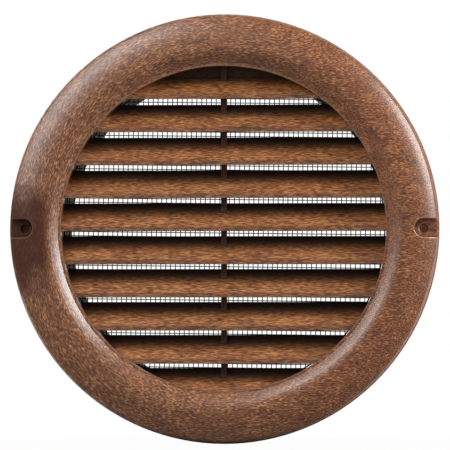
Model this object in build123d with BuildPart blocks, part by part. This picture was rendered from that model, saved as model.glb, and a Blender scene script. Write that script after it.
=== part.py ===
from build123d import *
import os

# Round louvred vent cover, as it stands on its wall: X runs across the face, Z is up and Y goes
# into the wall. The origin is the centre of the rim's back edge, where the rim meets the wall.
# Sizes are in millimetres. Heights of the rim are measured from the wall towards the room.

# Rim, a hollow moulding with a broad outer flank and a nose that turns tightly in to the opening
rim_outer_radius = 75.0
rim_flank_width = 12.0
rim_nose_width = 5.5
rim_edge_height = 6.0
rim_flank_rise = 4.0
rim_edge_draft = 0.7
rim_nose_radius = 5.0
rim_nose_turn = 30.0
rim_nose_drop = 2.9
rim_corner = 2.0
rim_wall = 1.8

# Narrow flat ledge round the opening
ledge_width = 1.0

# Louvre slats, sloping down towards the room
slat_pitch = 11.5
slat_drop = 0.4
slat_lip = 1.9
slat_sight_gap = 1.2
slat_depth = 8.0
slat_setback = 1.0
slat_edge = 0.2

# Upright rib behind the slats' front edges
rib_width = 2.0
rib_setback = 4.7

# Collar that goes into the duct
collar_wall = 2.0
collar_length = 34.0
collar_lead_in = 0.8

# Screw recesses at both sides, open to the rim's edge, with a thin skin that closes each hole's back
screw_spacing = 138.8
screw_hole_radius = 1.35
screw_sink_radius = 1.85
screw_sink_angle = 90.0
recess_width = 6.4
recess_floor = 2.2
knockout_skin = 0.9
recess_edge = 0.4
recess_foot = 1.2

# Insect mesh, fixed to the slats' back edges inside the collar
mesh_clearance = 0.2
mesh_thickness = 0.6
mesh_border = 1.6
strand_width = 1.0
strand_lap = 0.1
warp_pitch = 11.0
weft_pitch = 9.5

# Places that follow from the sizes
rim_crest_radius = rim_outer_radius - rim_flank_width
opening_radius = rim_crest_radius - rim_nose_width - ledge_width
collar_radius = opening_radius + collar_wall
crest_height = rim_edge_height + rim_flank_rise
ledge_height = crest_height - rim_nose_drop
lip_plane = slat_setback - ledge_height
mesh_plane = lip_plane + slat_depth
slat_rise = slat_pitch - slat_lip - slat_sight_gap
slats_above_middle = int(opening_radius // slat_pitch)
slats_below_middle = slats_above_middle + 1
slat_heights = [slat_pitch * i - slat_drop for i in range(-slats_below_middle, slats_above_middle + 1)]
top_slat_back = slat_heights[-1] + slat_rise - slat_lip / 2
mesh_radius = opening_radius - mesh_clearance
strand_thickness = (mesh_thickness + strand_lap) / 2
wefts = 2 * round(mesh_radius / weft_pitch)
warps = 2 * round(mesh_radius / warp_pitch)
screw_circle_radius = screw_spacing / 2

# Round forms are drawn on the lower half of the middle plane: radius downwards, depth into the wall
section_plane = Plane(origin=(0, 0, 0), x_dir=(0, 0, -1), z_dir=(1, 0, 0))
mesh_front = Plane.XZ.offset(-mesh_plane)
mesh_back = Plane.XZ.offset(-mesh_plane - mesh_thickness)
recess_plane = Plane.XZ.offset(recess_floor)
crest = (rim_crest_radius, -crest_height)
edge = (rim_outer_radius - rim_edge_draft, -rim_edge_height)
ledge = (opening_radius + ledge_width, -ledge_height)

# Outline of the rim's section
with BuildSketch(section_plane) as rim_outline:
    with BuildLine():
        TangentArc(crest, edge, tangent=(1, 0))
        Polyline(edge, (rim_outer_radius, 0), (opening_radius, 0), (opening_radius, -ledge_height), ledge)
        nose = JernArc(crest, tangent=(-1, 0), radius=rim_nose_radius, arc_size=-rim_nose_turn)
        TangentArc(nose @ 1, ledge, tangent=nose % 1)
    make_face()
    fillet(rim_outline.vertices().sort_by_distance(edge)[0], radius=rim_corner)

# Hollow behind the rim, one wall in from the outline and open to the back
with BuildSketch(section_plane) as rim_hollow:
    add(rim_outline.sketch_local)
    offset(amount=-rim_wall, mode=Mode.REPLACE)
    with Locations((rim_outer_radius - rim_wall, 0)):
        Rectangle(
            rim_outer_radius - rim_wall - collar_radius,
            2 * rim_wall,
            align=(Align.MAX, Align.MAX),
        )

# Collar section, from the ledge back into the duct
with BuildSketch(section_plane) as collar_section:
    with Locations((opening_radius, -ledge_height)):
        Rectangle(collar_wall, ledge_height + collar_length, align=(Align.MIN, Align.MIN))
    collar_end = collar_section.vertices().group_by(Axis.Y)[-1]
    chamfer(collar_end.sort_by(Axis.X)[-1], length=collar_lead_in)

# Blocks that carry the screw recesses, trimmed to the rim's own outside
with BuildPart() as screw_seats:
    add(rim_outline.sketch)
    revolve(axis=Axis.Y)
    with BuildSketch(Plane.XZ):
        with PolarLocations(screw_circle_radius, 2):
            Circle(recess_width / 2 + rim_wall)
            Rectangle(rim_crest_radius, recess_width + 2 * rim_wall, align=(Align.MIN, Align.CENTER))
    extrude(amount=crest_height, mode=Mode.INTERSECT)

# Slats, rib and the web that closes the sliver above the top slat, trimmed to the collar's wall
with BuildPart() as louvres:
    with BuildSketch(Plane.YZ) as slat_sections:
        with Locations(*[(0, height) for height in slat_heights]):
            Polygon(
                (lip_plane, -slat_lip / 2),
                (lip_plane, slat_lip / 2),
                (mesh_plane, slat_lip / 2 + slat_rise),
                (mesh_plane, slat_rise - slat_lip / 2),
                align=None,
            )
        fillet(slat_sections.vertices().group_by(Axis.X)[0], radius=slat_edge)
    extrude(amount=collar_radius, both=True)
    with BuildSketch(mesh_front):
        Rectangle(rib_width, 2 * collar_radius)
    extrude(amount=slat_depth - rib_setback)
    with BuildSketch(mesh_front):
        with Locations((0, top_slat_back)):
            Rectangle(2 * collar_radius, collar_radius, align=(Align.CENTER, Align.MIN))
    extrude(amount=slat_lip)
    with BuildSketch(mesh_front):
        Circle((opening_radius + collar_radius) / 2)
    extrude(amount=slat_depth, mode=Mode.INTERSECT)

# Section of what stays under the recesses, a flat floor that rounds over at the rim's edge
with BuildSketch(section_plane) as floor_section:
    Rectangle(rim_outer_radius, recess_floor, align=(Align.MIN, Align.MAX))
    floor_edge = floor_section.vertices().group_by(Axis.Y)[0].sort_by(Axis.X)[-1]
    fillet(floor_edge, radius=recess_foot)

# Space of the two recesses, above that floor
with BuildPart() as recess_space:
    with BuildSketch(Plane.XZ):
        with PolarLocations(screw_circle_radius, 2):
            Circle(recess_width / 2)
            Rectangle(rim_crest_radius, recess_width, align=(Align.MIN, Align.CENTER))
    extrude(amount=crest_height)
    add(floor_section.sketch)
    revolve(axis=Axis.Y, mode=Mode.SUBTRACT)

# The whole moulding, with its recesses cut and their upper edges eased
with BuildPart() as grille:
    with BuildSketch(section_plane):
        add(rim_outline.sketch_local)
        add(rim_hollow.sketch_local, mode=Mode.SUBTRACT)
        add(collar_section.sketch_local)
    revolve(axis=Axis.Y)
    add(screw_seats.part)
    add(louvres.part)
    add(recess_space.part, mode=Mode.SUBTRACT)
    recess_edges = grille.edges(Select.LAST).filter_by(GeomType.BSPLINE)
    upper_edges = recess_edges.filter_by_position(Axis.Y, -crest_height, -recess_floor, (True, False))
    fillet(upper_edges, radius=recess_edge)
    with Locations(recess_plane):
        with PolarLocations(screw_circle_radius, 2):
            CounterSinkHole(
                screw_hole_radius,
                screw_sink_radius,
                depth=recess_floor - knockout_skin,
                counter_sink_angle=screw_sink_angle,
            )

# Mesh disc: level strands in front, upright strands behind, and a solid border
with BuildPart() as mesh:
    with BuildSketch(mesh_front):
        with GridLocations(0, weft_pitch, 1, wefts):
            Rectangle(2 * mesh_radius, strand_width)
    extrude(amount=-strand_thickness)
    with BuildSketch(mesh_back):
        with GridLocations(warp_pitch, 0, warps, 1):
            Rectangle(strand_width, 2 * mesh_radius)
    extrude(amount=strand_thickness)
    with BuildSketch(mesh_back):
        Circle(mesh_radius)
    extrude(amount=mesh_thickness, mode=Mode.INTERSECT)
    with BuildSketch(mesh_back):
        Circle(mesh_radius)
        Circle(mesh_radius - mesh_border, mode=Mode.SUBTRACT)
    extrude(amount=mesh_thickness)

os.makedirs("parts", exist_ok=True)
grille.part.label = "louvre_grille"
mesh.part.label = "insect_mesh"
export_step(grille.part, "parts/louvre_grille.step")
export_step(mesh.part, "parts/insect_mesh.step")
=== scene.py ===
import math
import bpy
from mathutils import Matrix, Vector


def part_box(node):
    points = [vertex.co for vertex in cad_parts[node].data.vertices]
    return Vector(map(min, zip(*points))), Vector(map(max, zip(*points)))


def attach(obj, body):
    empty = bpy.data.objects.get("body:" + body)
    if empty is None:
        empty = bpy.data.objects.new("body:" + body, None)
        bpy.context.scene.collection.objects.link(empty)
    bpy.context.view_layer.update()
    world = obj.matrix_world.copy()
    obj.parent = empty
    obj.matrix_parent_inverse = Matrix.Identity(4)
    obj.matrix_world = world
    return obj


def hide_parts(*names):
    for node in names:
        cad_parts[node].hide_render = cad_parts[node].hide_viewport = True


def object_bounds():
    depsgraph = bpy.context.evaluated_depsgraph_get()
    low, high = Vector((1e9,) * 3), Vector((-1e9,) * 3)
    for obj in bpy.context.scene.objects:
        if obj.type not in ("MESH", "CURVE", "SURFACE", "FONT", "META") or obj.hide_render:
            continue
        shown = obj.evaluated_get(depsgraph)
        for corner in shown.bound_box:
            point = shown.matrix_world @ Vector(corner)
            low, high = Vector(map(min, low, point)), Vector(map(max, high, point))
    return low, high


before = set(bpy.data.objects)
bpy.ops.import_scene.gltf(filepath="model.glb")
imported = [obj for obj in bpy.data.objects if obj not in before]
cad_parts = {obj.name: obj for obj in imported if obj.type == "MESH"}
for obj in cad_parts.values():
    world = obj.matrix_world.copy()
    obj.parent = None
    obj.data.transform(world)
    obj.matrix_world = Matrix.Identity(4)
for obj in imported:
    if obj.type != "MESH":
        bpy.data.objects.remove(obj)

from types import SimpleNamespace

import bpy
from mathutils import Matrix, Vector

# Round louvred vent cover in wood-look plastic, with an insect screen behind its slats.
# X runs across the face, Z is up and Y goes into the wall. Lengths are in metres; the finishes
# work in millimetres.
cad_low, cad_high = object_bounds()
MM = 0.001

# Camera, a little to the right of the cover's axis and a little below it, with angles in degrees
CAMERA_DISTANCE = 1.17
CAMERA_TO_THE_RIGHT = 2.9
CAMERA_BELOW = 1.9
CAMERA_FRAME_WIDTH = 0.157
CAMERA_AIM = (0.32 * MM, 0.0, 1.28 * MM)
SENSOR_WIDTH = 36.0

# Softboxes: sideways and upward direction in degrees, length round the axis, width, power
SOFTBOX_DISTANCE = 0.9
SOFTBOXES = {
    "left_softbox": (-54.3, 39.1, 0.9, 0.28, 3.6),
    "left_front_softbox": (-32.5, 28.2, 0.8, 0.36, 0.9),
    "right_softbox": (73.6, 24.0, 0.5, 0.15, 6.0),
}

# Room: its light, and how far a mirrored ray points into the wall where it shows white
ROOM_LIGHT = 0.3
ROOM_BEHIND = (0.5, 0.9)

# Floor: its grey under the lamps, and in millimetres where mirrors and the camera see it as white
FLOOR_GREY = (0.25, 0.25, 0.25, 1.0)
FLOOR_HALF_WIDTH = 3.0
FLOOR_GAP = 0.2 * MM
FLOOR_BEHIND = (0.0, 60.0)
FLOOR_WHITENS = (40.0, 160.0)
FLOOR_NEAR_COVER = 0.97

# Places on the moulding, in millimetres
RIM_RADIUS = 75.0
CREST_RADIUS = 63.0
OPENING_RADIUS = 56.5
LIP_PLANE = -6.1
MESH_PLANE = 1.9
RIB_HALF_WIDTH = 1.0
RIB_FRONT = -1.4
SCREW_CIRCLE_RADIUS = 69.4
RECESS_HALF_WIDTH = 3.2
RECESS_FLOOR = -2.2
SINK_RADIUS = 1.85

# Strokes of pigment: length and width in millimetres, and how far they wander
ROUND_STROKES = {"Length": 1.2, "Width": 0.27, "Wander": 0.3}
LEVEL_STROKES = {"Length": 1.4, "Width": 0.26, "Wander": 0.4}
SLAT_STROKES = {"Length": 1.9, "Width": 0.31, "Wander": 0.3}

# Bands under the strokes: their size against a stroke's, and their share
BAND_LENGTHS = 5.0
BAND_WIDTHS = 12.0
BAND_SHARE = 0.2

# Noise: the part of its range that is used, and the clouds' scale against the pits'
STROKE_NOISE = (0.22, 0.78)
BROAD_NOISE = (0.3, 0.7)
CLOUD_SCALE = 0.06

# Across the rim, from left to right: where its strokes turn level and where it turns warmer
TURNS_LEVEL = (-10.0, 18.0)
TURNS_LEVEL_WAVE = 30.0
TURNS_WARM = (5.0, 40.0)

# Darker cloud round the left screw recess
DARK_BELOW_MIDDLE = 4.0
DARK_HALF_HEIGHT = (9.0, 24.0)
DARK_WAVE = 8.0
DARK_INNER_SIDE = (-63.0, -58.5)
DARK_SHARE = 0.9
DARK_MATT = 0.8

# Slats, with painted shade on their lips and deep between them, on the rib and inside the collar
SLATS_END = (OPENING_RADIUS, OPENING_RADIUS + 0.6)
LIP_FACE = (LIP_PLANE + 0.1, LIP_PLANE + 0.3)
LIP_SHARE = 0.25
PAINTED_SHADE_DEPTH = (LIP_PLANE + 2.1, MESH_PLANE - 0.8)
RIB_SIDE = (RIB_HALF_WIDTH, RIB_HALF_WIDTH + 0.1)
RIB_FACE = (RIB_FRONT - 0.2, RIB_FRONT - 0.1)
RIB_SHARE = 0.85
BORE_WALL = (OPENING_RADIUS - 0.3, OPENING_RADIUS - 0.1)
BORE_DEPTH = (LIP_PLANE + 1.0, MESH_PLANE - 2.0)

# Painted highlights on edges: half the width of each line, the part of it that is full, and where it
# lies
EDGE_HIGHLIGHT_SHARE = 0.4
EDGE_HIGHLIGHT_LOST_IN_DARK = 0.22
LINE_CORE = 0.3
LEDGE_LINE = 0.22
LEDGE_LINE_RADIUS = OPENING_RADIUS + 0.1
LEDGE_FACE = (LIP_PLANE - 0.6, LIP_PLANE - 0.3)
RECESS_LINE = 0.28
RECESS_LINE_OUT = RECESS_HALF_WIDTH + 0.2
RECESS_INNER_END = (64.0, 65.5)
RECESS_FOOT = (RECESS_FLOOR - 0.8, RECESS_FLOOR - 0.2)
HOLE_LINE = 0.3
HOLE_MIDDLE = (0.6, 0.9)
HOLE_TOP = (RECESS_FLOOR - 0.2, RECESS_FLOOR - 0.1)
HOLE_BOTTOM = (-0.6, -0.4)

# Gloss of the moulding: its plastic, what is added to the roughness, and the clear coat
SIDE_WALL = (RIM_RADIUS - 0.8, RIM_RADIUS - 0.4)
PLASTIC_IOR = 1.42
PLASTIC_ROUGHNESS = 0.42
CLOUD_ROUGHNESS = 0.06
STROKE_ROUGHNESS = -0.1
MATT_ROUGHNESS = 0.5
COAT_ROUGHNESS = 0.34
COAT_IOR = 1.64

# Relief of the skins, with the size of their pits in millimetres, and the yarn's gloss
BUMP_STRENGTH = 0.2
MOULDED_PIT = 0.5
MOULDED_PIT_HEIGHT = 0.4
MOULDED_RELIEF = 0.05 * MM
YARN_PIT = 0.12
YARN_RELIEF = 0.02 * MM
YARN_ROUGHNESS = (0.42, 0.6)
YARN_SPECULAR = 0.2

# Insect screen. A shoulder is the half of a yarn's flat part over a crossing, in pitches, and the
# sealed edge's half thickness and its taper are shares.
YARN_RADIUS = 0.16 * MM
UPRIGHT_PITCH = 1.70 * MM
LEVEL_PITCH = 1.47 * MM
WEAVE_TILT = 0.7
SHOULDER = 0.24
SEALED_EDGE = 0.5 * MM
EDGE_HALF_THICKNESS = 0.4
EDGE_TAPER = 0.5
EDGE_STEPS = 120


def srgb(red, green, blue):
    """A colour given in screen values, as the shaders need it."""
    def linear(value):
        value = value / 255
        return value / 12.92 if value <= 0.04045 else ((value + 0.055) / 1.055) ** 2.4
    return (linear(red), linear(green), linear(blue), 1.0)


# Colours, and the shades that a tone from 0 to 1 runs through
WHITE = (1.0, 1.0, 1.0, 1.0)
RIM_SHADES = [
    (0.05, srgb(70, 36, 16)),
    (0.36, srgb(118, 69, 38)),
    (0.62, srgb(158, 101, 61)),
    (0.95, srgb(232, 166, 116)),
]
SLAT_SHADES = [
    (0.08, srgb(78, 40, 16)),
    (0.5, srgb(149, 91, 49)),
    (0.92, srgb(214, 145, 87)),
]
YARN_SHADES = [
    (0.1, srgb(22, 22, 24)),
    (0.9, srgb(40, 40, 43)),
]
WARM_TINT = (0.96, 0.83, 0.7, 1.0)
# Colour of the darker patch round the left screw recess
DARKER_PATCH_COLOUR = srgb(76, 30, 11)
# Painted shade deep between the slats, on the rib and inside the collar
PAINTED_SHADE_BROWN = srgb(56, 39, 30)
# Painted shade on the slats' lips
LIP_PAINTED_SHADE = srgb(70, 40, 24)
# Painted highlight on edges and in the screw holes
PAINTED_EDGE_HIGHLIGHT = srgb(190, 150, 120)


def give(tree, socket, value):
    """Links a value to a socket, or sets it there if it is a plain one."""
    if isinstance(value, bpy.types.NodeSocket):
        tree.links.new(value, socket)
    else:
        socket.default_value = value


def node(tree, kind, inputs=None, **settings):
    """A new node with its settings, and its inputs given by name."""
    made = tree.nodes.new(kind)
    for name, value in settings.items():
        setattr(made, name, value)
    for name, value in (inputs or {}).items():
        give(tree, made.inputs[name], value)
    return made


def calc(tree, operation, *values):
    made = node(tree, "ShaderNodeMath", operation=operation)
    for socket, value in zip(made.inputs, values):
        give(tree, socket, value)
    return made.outputs[0]


def spread(tree, value, low, high, new_low=0.0, new_high=1.0, shape="LINEAR"):
    """Moves a value from one range to another, held at the ends."""
    inputs = {"Value": value, "From Min": low, "From Max": high, "To Min": new_low, "To Max": new_high}
    return node(tree, "ShaderNodeMapRange", inputs, interpolation_type=shape).outputs["Result"]


def fall(tree, value, low, high, shape="LINEAR"):
    """One below a range and zero above it."""
    return spread(tree, value, low, high, 1.0, 0.0, shape)


def both(tree, first, second):
    """How far two masks hold together."""
    return calc(tree, "MULTIPLY", first, second)


def either(tree, first, *others):
    """How far at least one of several masks holds."""
    for other in others:
        first = calc(tree, "MAXIMUM", first, other)
    return first


def blend_values(tree, share, first, second):
    made = node(tree, "ShaderNodeMix", data_type="FLOAT")
    for socket, value in zip((made.inputs[0], made.inputs[2], made.inputs[3]), (share, first, second)):
        give(tree, socket, value)
    return made.outputs[0]


def blend_colours(tree, share, first, second, kind="MIX"):
    made = node(tree, "ShaderNodeMix", data_type="RGBA", blend_type=kind)
    for socket, value in zip((made.inputs[0], made.inputs[6], made.inputs[7]), (share, first, second)):
        give(tree, socket, value)
    return made.outputs[2]


def place(tree, along, across, deep):
    return node(tree, "ShaderNodeCombineXYZ", {"X": along, "Y": across, "Z": deep}).outputs[0]


def length_of(tree, first, second):
    squares = [calc(tree, "MULTIPLY", value, value) for value in (first, second)]
    return calc(tree, "SQRT", calc(tree, "ADD", *squares))


def line(tree, value, middle, half_width):
    """One at the middle of a narrow line, falling to zero at its sides."""
    away = calc(tree, "ABSOLUTE", calc(tree, "SUBTRACT", value, middle))
    return fall(tree, away, half_width * LINE_CORE, half_width, "SMOOTHSTEP")


def shades(tree, tone, stops):
    """Turns a tone into a colour by stops, each a position and its colour."""
    ramp = node(tree, "ShaderNodeValToRGB", {"Fac": tone})
    elements = ramp.color_ramp.elements
    while len(elements) < len(stops):
        elements.new(1.0)
    for element, (position, colour) in zip(elements, stops):
        element.position = position
        element.color = colour
    return ramp.outputs["Color"]


def new_group(name, numbers, gives):
    """A node group that takes a place and some numbers, and gives values."""
    group = bpy.data.node_groups.new(name, "ShaderNodeTree")
    group.interface.new_socket("Place", in_out="INPUT", socket_type="NodeSocketVector")
    for label in numbers:
        group.interface.new_socket(label, in_out="INPUT", socket_type="NodeSocketFloat")
    for label in gives:
        group.interface.new_socket(label, in_out="OUTPUT", socket_type="NodeSocketFloat")
    return group, node(group, "NodeGroupInput").outputs, node(group, "NodeGroupOutput").inputs


def use_group(tree, group, inputs):
    return node(tree, "ShaderNodeGroup", inputs, node_tree=group).outputs


def streak_group():
    """Pigment drawn out into streaks along the first coordinate, with broader bands under them."""
    group, given, out = new_group("pigment_streaks", ["Length", "Width", "Wander"], ["Streaks", "Bands"])
    split = node(group, "ShaderNodeSeparateXYZ", {"Vector": given["Place"]}).outputs

    def drawn_out(lengths, widths, detail):
        length = calc(group, "MULTIPLY", given["Length"], lengths)
        width = calc(group, "MULTIPLY", given["Width"], widths)
        spot = place(
            group,
            calc(group, "DIVIDE", split["X"], length),
            calc(group, "DIVIDE", split["Y"], width),
            calc(group, "DIVIDE", split["Z"], width),
        )
        inputs = {
            "Vector": spot,
            "Scale": 1.0,
            "Detail": detail,
            "Roughness": 0.6,
            "Distortion": given["Wander"],
        }
        return node(group, "ShaderNodeTexNoise", inputs).outputs["Fac"]

    strokes = drawn_out(1.0, 1.0, detail=0.0)
    bands = drawn_out(BAND_LENGTHS, BAND_WIDTHS, detail=2.0)
    give(group, out["Streaks"], spread(group, strokes, *STROKE_NOISE))
    give(group, out["Bands"], spread(group, bands, *BROAD_NOISE))
    return group


def skin_group():
    """Fine unevenness of a moulded or coated skin."""
    group, given, out = new_group("moulded_skin", ["Size"], ["Pits", "Clouds"])
    fine = calc(group, "DIVIDE", 1.0, given["Size"])
    broad = calc(group, "MULTIPLY", fine, CLOUD_SCALE)
    for label, scale, detail in (("Pits", fine, 2.0), ("Clouds", broad, 3.0)):
        inputs = {"Vector": given["Place"], "Scale": scale, "Detail": detail}
        noise = node(group, "ShaderNodeTexNoise", inputs).outputs["Fac"]
        give(group, out[label], spread(group, noise, *BROAD_NOISE))
    return group


def new_material(name):
    material = bpy.data.materials.new(name)
    material.use_nodes = True
    tree = material.node_tree
    tree.nodes.clear()
    output = node(tree, "ShaderNodeOutputMaterial")
    return material, tree, output.inputs["Surface"]


def place_in_mm(tree):
    spot = node(tree, "ShaderNodeTexCoord").outputs["Object"]
    scaled = node(tree, "ShaderNodeVectorMath", {"Vector": spot, "Scale": 1 / MM}, operation="SCALE")
    return scaled.outputs["Vector"]


def rim_finish(tree, streaks, at, clouds):
    """The rim's strokes and colour: strokes round it on the left, level and warmer on the right."""
    turn = calc(tree, "ARCTAN2", at.z, calc(tree, "MULTIPLY", at.x, -1.0))
    round_place = place(tree, calc(tree, "MULTIPLY", turn, CREST_RADIUS), at.radius, at.y)
    round_grain = use_group(tree, streaks, {"Place": round_place, **ROUND_STROKES})
    level_grain = use_group(tree, streaks, {"Place": at.level, **LEVEL_STROKES})
    wavy_x = calc(tree, "MULTIPLY_ADD", clouds, TURNS_LEVEL_WAVE, at.x)
    level_share = spread(tree, wavy_x, *TURNS_LEVEL, shape="SMOOTHSTEP")
    strokes = blend_values(tree, level_share, round_grain["Streaks"], level_grain["Streaks"])
    bands = blend_values(tree, level_share, round_grain["Bands"], level_grain["Bands"])
    colour = shades(tree, blend_values(tree, BAND_SHARE, strokes, bands), RIM_SHADES)
    warm = spread(tree, at.x, *TURNS_WARM, shape="SMOOTHSTEP")
    return strokes, blend_colours(tree, warm, colour, WARM_TINT, "MULTIPLY")


def slat_finish(tree, streaks, at):
    """The slats' strokes and colour: longer level streaks, more orange."""
    grain = use_group(tree, streaks, {"Place": at.level, **SLAT_STROKES})
    tone = blend_values(tree, BAND_SHARE, grain["Streaks"], grain["Bands"])
    return grain["Streaks"], shades(tree, tone, SLAT_SHADES)


def dark_cloud(tree, at, clouds):
    """Where the rim is darker: on the left, round the screw recess."""
    off_middle = calc(tree, "ABSOLUTE", calc(tree, "ADD", at.z, DARK_BELOW_MIDDLE))
    wavy = calc(tree, "MULTIPLY_ADD", clouds, DARK_WAVE, off_middle)
    near_recess = fall(tree, wavy, *DARK_HALF_HEIGHT, "SMOOTHSTEP")
    return both(tree, near_recess, fall(tree, at.x, *DARK_INNER_SIDE, "SMOOTHSTEP"))


def painted_shade_places(tree, at):
    """Painted shade: deep between the slats, on the rib and inside the collar."""
    deep = spread(tree, at.y, *PAINTED_SHADE_DEPTH, shape="SMOOTHSTEP")
    rib = both(tree, fall(tree, at.off_axis, *RIB_SIDE), spread(tree, at.y, *RIB_FACE, 0.0, RIB_SHARE))
    bore = both(tree, spread(tree, at.radius, *BORE_WALL), spread(tree, at.y, *BORE_DEPTH))
    return either(tree, deep, rib, bore)


def painted_edge_highlights(tree, at):
    """Painted highlights on edges: the ledge's, the recesses' and the screw holes', and on the holes'
    middles.
    """
    ledge_line = line(tree, at.radius, LEDGE_LINE_RADIUS, LEDGE_LINE)
    ledge = both(tree, ledge_line, fall(tree, at.y, *LEDGE_FACE))

    past_screw = calc(tree, "SUBTRACT", at.off_axis, SCREW_CIRCLE_RADIUS)
    from_recess = length_of(tree, calc(tree, "MINIMUM", past_screw, 0.0), at.z)
    at_recess = both(tree, spread(tree, at.off_axis, *RECESS_INNER_END), fall(tree, at.y, *RECESS_FOOT))
    recess = both(tree, line(tree, from_recess, RECESS_LINE_OUT, RECESS_LINE), at_recess)

    from_screw = length_of(tree, past_screw, at.z)
    ring = line(tree, from_screw, SINK_RADIUS, HOLE_LINE)
    in_hole = both(tree, spread(tree, at.y, *HOLE_TOP), fall(tree, at.y, *HOLE_BOTTOM))
    hole = both(tree, either(tree, ring, fall(tree, from_screw, *HOLE_MIDDLE)), in_hole)
    return either(tree, recess, ledge, hole)


def wood_look_plastic(streaks, skin):
    material, tree, surface = new_material("wood_look_plastic")
    spot = place_in_mm(tree)
    x, y, z = node(tree, "ShaderNodeSeparateXYZ", {"Vector": spot}).outputs
    at = SimpleNamespace(
        x=x,
        y=y,
        z=z,
        radius=length_of(tree, x, z),
        off_axis=calc(tree, "ABSOLUTE", x),
        level=place(tree, x, z, y),
    )
    skin_out = use_group(tree, skin, {"Place": spot, "Size": MOULDED_PIT})
    clouds = calc(tree, "SUBTRACT", skin_out["Clouds"], 0.5)

    # Rim and slats
    rim_strokes, rim_colour = rim_finish(tree, streaks, at, clouds)
    dark = dark_cloud(tree, at, clouds)
    dark_share = calc(tree, "MULTIPLY", dark, DARK_SHARE)
    rim_colour = blend_colours(tree, dark_share, rim_colour, DARKER_PATCH_COLOUR)
    slat_strokes, slat_colour = slat_finish(tree, streaks, at)
    in_opening = fall(tree, at.radius, *SLATS_END)
    colour = blend_colours(tree, in_opening, rim_colour, slat_colour)
    strokes = blend_values(tree, in_opening, rim_strokes, slat_strokes)

    # Painted shade deep in the slats and on their lips, and painted highlights on edges, which are
    # fainter in the dark cloud
    painted_shade = both(tree, painted_shade_places(tree, at), in_opening)
    colour = blend_colours(tree, painted_shade, colour, PAINTED_SHADE_BROWN)
    shaded_lips = both(tree, fall(tree, at.y, *LIP_FACE), in_opening)
    colour = blend_colours(tree, calc(tree, "MULTIPLY", shaded_lips, LIP_SHARE), colour, LIP_PAINTED_SHADE)
    edge_highlight_share = calc(tree, "MULTIPLY_ADD", dark, -EDGE_HIGHLIGHT_LOST_IN_DARK, EDGE_HIGHLIGHT_SHARE)
    highlight_share = calc(tree, "MULTIPLY", painted_edge_highlights(tree, at), edge_highlight_share)
    colour = blend_colours(tree, highlight_share, colour, PAINTED_EDGE_HIGHLIGHT)

    # The dark cloud, the places of painted shade and the rim's side wall are matt, with little coat or
    # none
    dark_matt = calc(tree, "MULTIPLY", dark, DARK_MATT)
    matt = either(tree, dark_matt, painted_shade, spread(tree, at.radius, *SIDE_WALL))
    roughness = calc(tree, "MULTIPLY_ADD", clouds, CLOUD_ROUGHNESS, PLASTIC_ROUGHNESS)
    roughness = calc(tree, "MULTIPLY_ADD", strokes, STROKE_ROUGHNESS, roughness)
    roughness = calc(tree, "MULTIPLY_ADD", matt, MATT_ROUGHNESS, roughness)
    height = calc(tree, "MULTIPLY_ADD", skin_out["Pits"], MOULDED_PIT_HEIGHT, strokes)
    relief = {"Height": height, "Strength": BUMP_STRENGTH, "Distance": MOULDED_RELIEF}
    bump = node(tree, "ShaderNodeBump", relief)
    shader = node(tree, "ShaderNodeBsdfPrincipled", {
        "Base Color": colour,
        "Roughness": roughness,
        "Normal": bump.outputs["Normal"],
        "IOR": PLASTIC_IOR,
        "Coat Weight": calc(tree, "SUBTRACT", 1.0, matt),
        "Coat Roughness": COAT_ROUGHNESS,
        "Coat IOR": COAT_IOR,
        "Coat Normal": bump.outputs["Normal"],
    })
    tree.links.new(shader.outputs[0], surface)
    return material


def screen_yarn(skin):
    material, tree, surface = new_material("screen_yarn")
    skin_out = use_group(tree, skin, {"Place": place_in_mm(tree), "Size": YARN_PIT})
    relief = {"Height": skin_out["Pits"], "Strength": BUMP_STRENGTH, "Distance": YARN_RELIEF}
    bump = node(tree, "ShaderNodeBump", relief)
    shader = node(tree, "ShaderNodeBsdfPrincipled", {
        "Base Color": shades(tree, skin_out["Clouds"], YARN_SHADES),
        "Roughness": spread(tree, skin_out["Pits"], 0.0, 1.0, *YARN_ROUGHNESS),
        "Normal": bump.outputs["Normal"],
        "Specular IOR Level": YARN_SPECULAR,
    })
    tree.links.new(shader.outputs[0], surface)
    return material


def put_in_scene(name, data):
    made = bpy.data.objects.new(name, data)
    bpy.context.scene.collection.objects.link(made)
    return made


def yarn_line(length, step, first_side, wave):
    """Points along one yarn as it goes over and under the yarns that it crosses."""
    crossings = int(length // step)
    points = [(-length, 0.0)]
    for crossing in range(-crossings, crossings + 1):
        side = wave if (crossing + first_side) % 2 == 0 else -wave
        for at in (crossing - SHOULDER, crossing + SHOULDER):
            if abs(at * step) < length:
                points.append((at * step, side))
    points.append((length, 0.0))
    return points


def yarn_rings(points, upright, offset, middle):
    """Four corners round a yarn at each of its points."""
    corners = []
    for along, depth in points:
        for side, back in ((1, 0), (0, 1), (-1, 0), (0, -1)):
            across = offset + side * YARN_RADIUS
            y = middle + depth + back * YARN_RADIUS
            corners.append((across, y, along) if upright else (along, y, across))
    return corners


def edge_rings(radius, half_thick, middle):
    """Four corners of the sealed edge at each step round the disc."""
    section = [
        (-SEALED_EDGE, -half_thick),
        (0.0, -half_thick * EDGE_TAPER),
        (0.0, half_thick * EDGE_TAPER),
        (-SEALED_EDGE, half_thick),
    ]
    corners = []
    for step in range(EDGE_STEPS):
        angle = 2 * math.pi * step / EDGE_STEPS
        for inward, depth in section:
            r = radius + inward
            corners.append((r * math.cos(angle), middle + depth, r * math.sin(angle)))
    return corners


def faces_between(rings, start, turned=False, closed=False):
    """Faces from each ring of four corners to the next one, turned inside out or closed to a hoop."""
    faces = []
    for ring in range(rings if closed else rings - 1):
        here = start + 4 * ring
        there = start + 4 * ((ring + 1) % rings)
        for corner in range(4):
            after = (corner + 1) % 4
            if turned:
                faces.append((here + corner, there + corner, there + after, here + after))
            else:
                faces.append((here + corner, here + after, there + after, there + corner))
    return faces


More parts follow.
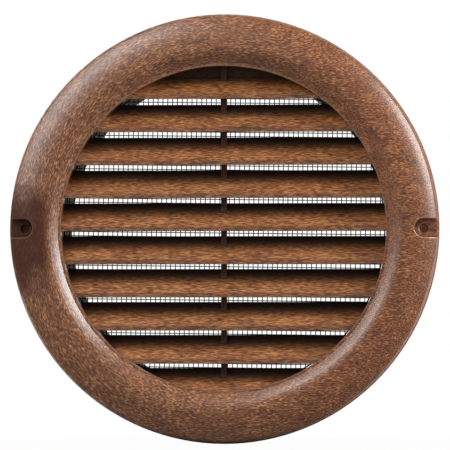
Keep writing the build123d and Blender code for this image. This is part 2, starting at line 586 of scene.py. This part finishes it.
def insect_screen():
    """A plain weave of fine yarn, cut to a disc, with its edge sealed."""
    low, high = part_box("insect_mesh")
    disc_radius = (high.x - low.x) / 2
    thickness = high.y - low.y
    middle = (low.y + high.y) / 2
    wave = thickness / 2 - YARN_RADIUS
    reach = disc_radius - SEALED_EDGE / 2
    weave, faces = [], []
    directions = ((UPRIGHT_PITCH, LEVEL_PITCH, True), (LEVEL_PITCH, UPRIGHT_PITCH, False))
    for pitch, crossed, upright in directions:
        yarns = int(reach // pitch)
        for yarn in range(-yarns, yarns + 1):
            half_length = math.sqrt(reach ** 2 - (yarn * pitch) ** 2)
            if half_length > crossed:
                points = yarn_line(half_length, crossed, yarn + upright, wave)
                faces += faces_between(len(points), len(weave), turned=not upright)
                weave += yarn_rings(points, upright, yarn * pitch, middle)

    turn = Matrix.Rotation(math.radians(WEAVE_TILT), 3, "Y")
    vertices = [tuple(turn @ Vector(corner)) for corner in weave]
    faces += faces_between(EDGE_STEPS, len(vertices), closed=True)
    vertices += edge_rings(disc_radius, thickness * EDGE_HALF_THICKNESS, middle)

    mesh = bpy.data.meshes.new("insect_screen")
    mesh.from_pydata(vertices, [], faces)
    mesh.polygons.foreach_set("use_smooth", [True] * len(mesh.polygons))
    mesh.update()
    return put_in_scene("insect_screen", mesh)


def towards(sideways, upward):
    """The direction that lies so many degrees to the right of the cover's axis and above it."""
    a, e = math.radians(sideways), math.radians(upward)
    return Vector((math.sin(a) * math.cos(e), -math.cos(a) * math.cos(e), math.sin(e)))


def photo_camera():
    lens = bpy.data.cameras.new("photo_camera")
    lens.sensor_width = SENSOR_WIDTH
    lens.lens = SENSOR_WIDTH * CAMERA_DISTANCE / CAMERA_FRAME_WIDTH
    camera = put_in_scene("photo_camera", lens)
    camera.location = towards(CAMERA_TO_THE_RIGHT, -CAMERA_BELOW) * CAMERA_DISTANCE
    look = Vector(CAMERA_AIM) - camera.location
    camera.rotation_euler = look.to_track_quat("-Z", "Y").to_euler()
    bpy.context.scene.camera = camera


def softbox(name, sideways, upward, length, width, power):
    """A softbox that faces the cover, its length running round the cover's axis."""
    lamp = bpy.data.lights.new(name, "AREA")
    lamp.shape = "RECTANGLE"
    lamp.size = length
    lamp.size_y = width
    lamp.energy = power
    box = put_in_scene(name, lamp)
    back = towards(sideways, upward)
    along = back.cross(Vector((0.0, 1.0, 0.0))).normalized()
    box.location = back * SOFTBOX_DISTANCE
    box.rotation_euler = Matrix((along, back.cross(along), back)).transposed().to_euler()


def background_share(tree, behind):
    """How far a ray shows the white background: a camera ray always, a mirrored one behind the cover."""
    path = node(tree, "ShaderNodeLightPath").outputs
    mirrored = either(tree, path["Is Glossy Ray"], path["Is Transmission Ray"])
    return either(tree, path["Is Camera Ray"], both(tree, mirrored, behind))


def white_room():
    world = bpy.data.worlds.new("white_room")
    bpy.context.scene.world = world
    world.use_nodes = True
    tree = world.node_tree
    tree.nodes.clear()
    direction = node(tree, "ShaderNodeTexCoord").outputs["Generated"]
    depth = node(tree, "ShaderNodeSeparateXYZ", {"Vector": direction}).outputs["Y"]
    share = background_share(tree, spread(tree, depth, *ROOM_BEHIND))
    strength = blend_values(tree, share, ROOM_LIGHT, 1.0)
    background = node(tree, "ShaderNodeBackground", {"Color": WHITE, "Strength": strength})
    output = node(tree, "ShaderNodeOutputWorld")
    tree.links.new(background.outputs[0], output.inputs["Surface"])


def pale_floor():
    material, tree, surface = new_material("pale_floor")
    matt = node(tree, "ShaderNodeBsdfDiffuse", {"Color": FLOOR_GREY})
    white = node(tree, "ShaderNodeEmission", {"Color": WHITE, "Strength": 1.0})
    spot = node(tree, "ShaderNodeSeparateXYZ", {"Vector": place_in_mm(tree)}).outputs
    behind = spread(tree, spot["Y"], *FLOOR_BEHIND)
    from_cover = length_of(tree, spot["X"], spot["Y"])
    whiteness = spread(tree, from_cover, *FLOOR_WHITENS, FLOOR_NEAR_COVER, 1.0, "SMOOTHSTEP")
    share = calc(tree, "MULTIPLY", background_share(tree, behind), whiteness)
    mixed = node(tree, "ShaderNodeMixShader", {"Fac": share})
    tree.links.new(matt.outputs[0], mixed.inputs[1])
    tree.links.new(white.outputs[0], mixed.inputs[2])
    tree.links.new(mixed.outputs[0], surface)
    half, level = FLOOR_HALF_WIDTH, cad_low.z - FLOOR_GAP
    corners = [(-half, -half, level), (half, -half, level), (half, half, level), (-half, half, level)]
    mesh = bpy.data.meshes.new("pale_floor")
    mesh.from_pydata(corners, [], [(0, 1, 2, 3)])
    mesh.materials.append(material)
    floor = put_in_scene("pale_floor", mesh)


def finish_with(piece, material):
    piece.data.materials.clear()
    piece.data.materials.append(material)


bpy.context.scene.view_settings.view_transform = "Standard"
streaks, skin = streak_group(), skin_group()
finish_with(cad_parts["louvre_grille"], wood_look_plastic(streaks, skin))
screen = insect_screen()
finish_with(screen, screen_yarn(skin))
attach(screen, "root")
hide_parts("insect_mesh")
pale_floor()
white_room()
for box_name, setting in SOFTBOXES.items():
    softbox(box_name, *setting)
photo_camera()
